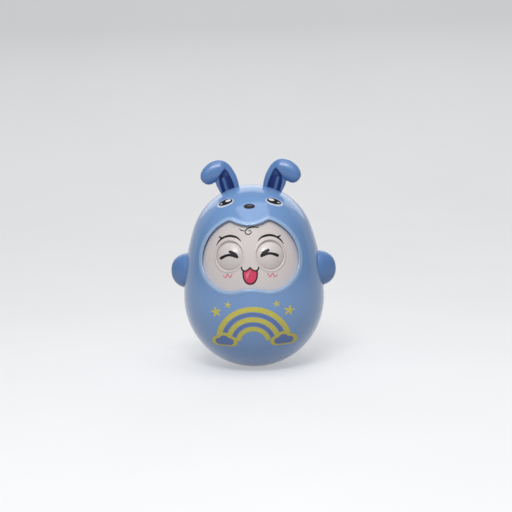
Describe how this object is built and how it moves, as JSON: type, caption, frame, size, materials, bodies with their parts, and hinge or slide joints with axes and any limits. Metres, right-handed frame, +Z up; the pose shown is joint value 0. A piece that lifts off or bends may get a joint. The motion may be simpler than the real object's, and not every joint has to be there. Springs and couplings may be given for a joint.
{
  "type": "roly-poly toy",
  "caption": "Egg-shaped roly-poly baby toy with lop ears, turning arms and a white face whose weighted eyes roll; an iron base rights it and a clapper rings chime rods inside.",
  "frame": {"origin": "middle of the small flat foot under the body", "axes": "+Z up through the crown, -Y the way the face looks, +X towards the right of a viewer who faces the toy"},
  "size_m": [0.1176, 0.1003, 0.1482],
  "materials": {
    "shell_blue": "gloss moulded plastic, sky blue",
    "ear_blue": "satin moulded plastic, a shade deeper than the shells",
    "face_white": "gloss moulded plastic, warm white, printed",
    "eye_white": "gloss moulded plastic, warm white, printed",
    "inner_plastic": "plain moulded plastic",
    "steel": "zinc plated steel",
    "chime_steel": "bright plated steel",
    "iron": "as cast"
  },
  "bodies": {
    "body": {"front_shell": "shell_blue", "rear_shell": "shell_blue", "shell_screws": "steel", "face_plate": "face_white", "face_screws": "steel", "eye_bracket": "inner_plastic", "eye_bracket_screws": "steel", "ear_left": "ear_blue", "ear_right": "ear_blue", "weight_shelf": "inner_plastic", "base_weight": "iron", "weight_screws": "steel", "chime_frame": "inner_plastic", "chime_rod_1": "chime_steel", "chime_rod_2": "chime_steel", "chime_rod_3": "chime_steel", "chime_rod_4": "chime_steel", "clapper_axle": "steel"},
    "eyes": {"eye_axle": "steel", "axle_clips": "steel", "eye_left": "eye_white", "eye_right": "eye_white", "eye_counterweight": "iron"},
    "left_arm": {"arm_left": "ear_blue"},
    "right_arm": {"arm_right": "ear_blue"},
    "swivel": {"clapper_swivel": "inner_plastic"},
    "striker": {"clapper_pin": "steel", "clapper": "chime_steel"}
  },
  "joints": [
    {"name": "eye_roll", "type": "hinge", "parent": "body", "child": "eyes", "pos_m": [0, -0.02906, 0.08219], "axis": [1, 0, 0], "range_deg": [-30, 30]},
    {"name": "arm_left_turn", "type": "hinge", "parent": "body", "child": "left_arm", "pos_m": [-0.0475, 0, 0.0695], "axis": [1, 0, 0], "continuous": true},
    {"name": "arm_right_turn", "type": "hinge", "parent": "body", "child": "right_arm", "pos_m": [0.0475, 0, 0.0695], "axis": [1, 0, 0], "continuous": true},
    {"name": "clapper_pitch", "type": "hinge", "parent": "body", "child": "swivel", "pos_m": [0, 0, 0.0542], "axis": [1, 0, 0], "range_deg": [-22, 22]},
    {"name": "clapper_roll", "type": "hinge", "parent": "swivel", "child": "striker", "pos_m": [0, 0, 0.0472], "axis": [0, 1, 0], "range_deg": [-33, 33]}
  ]
}
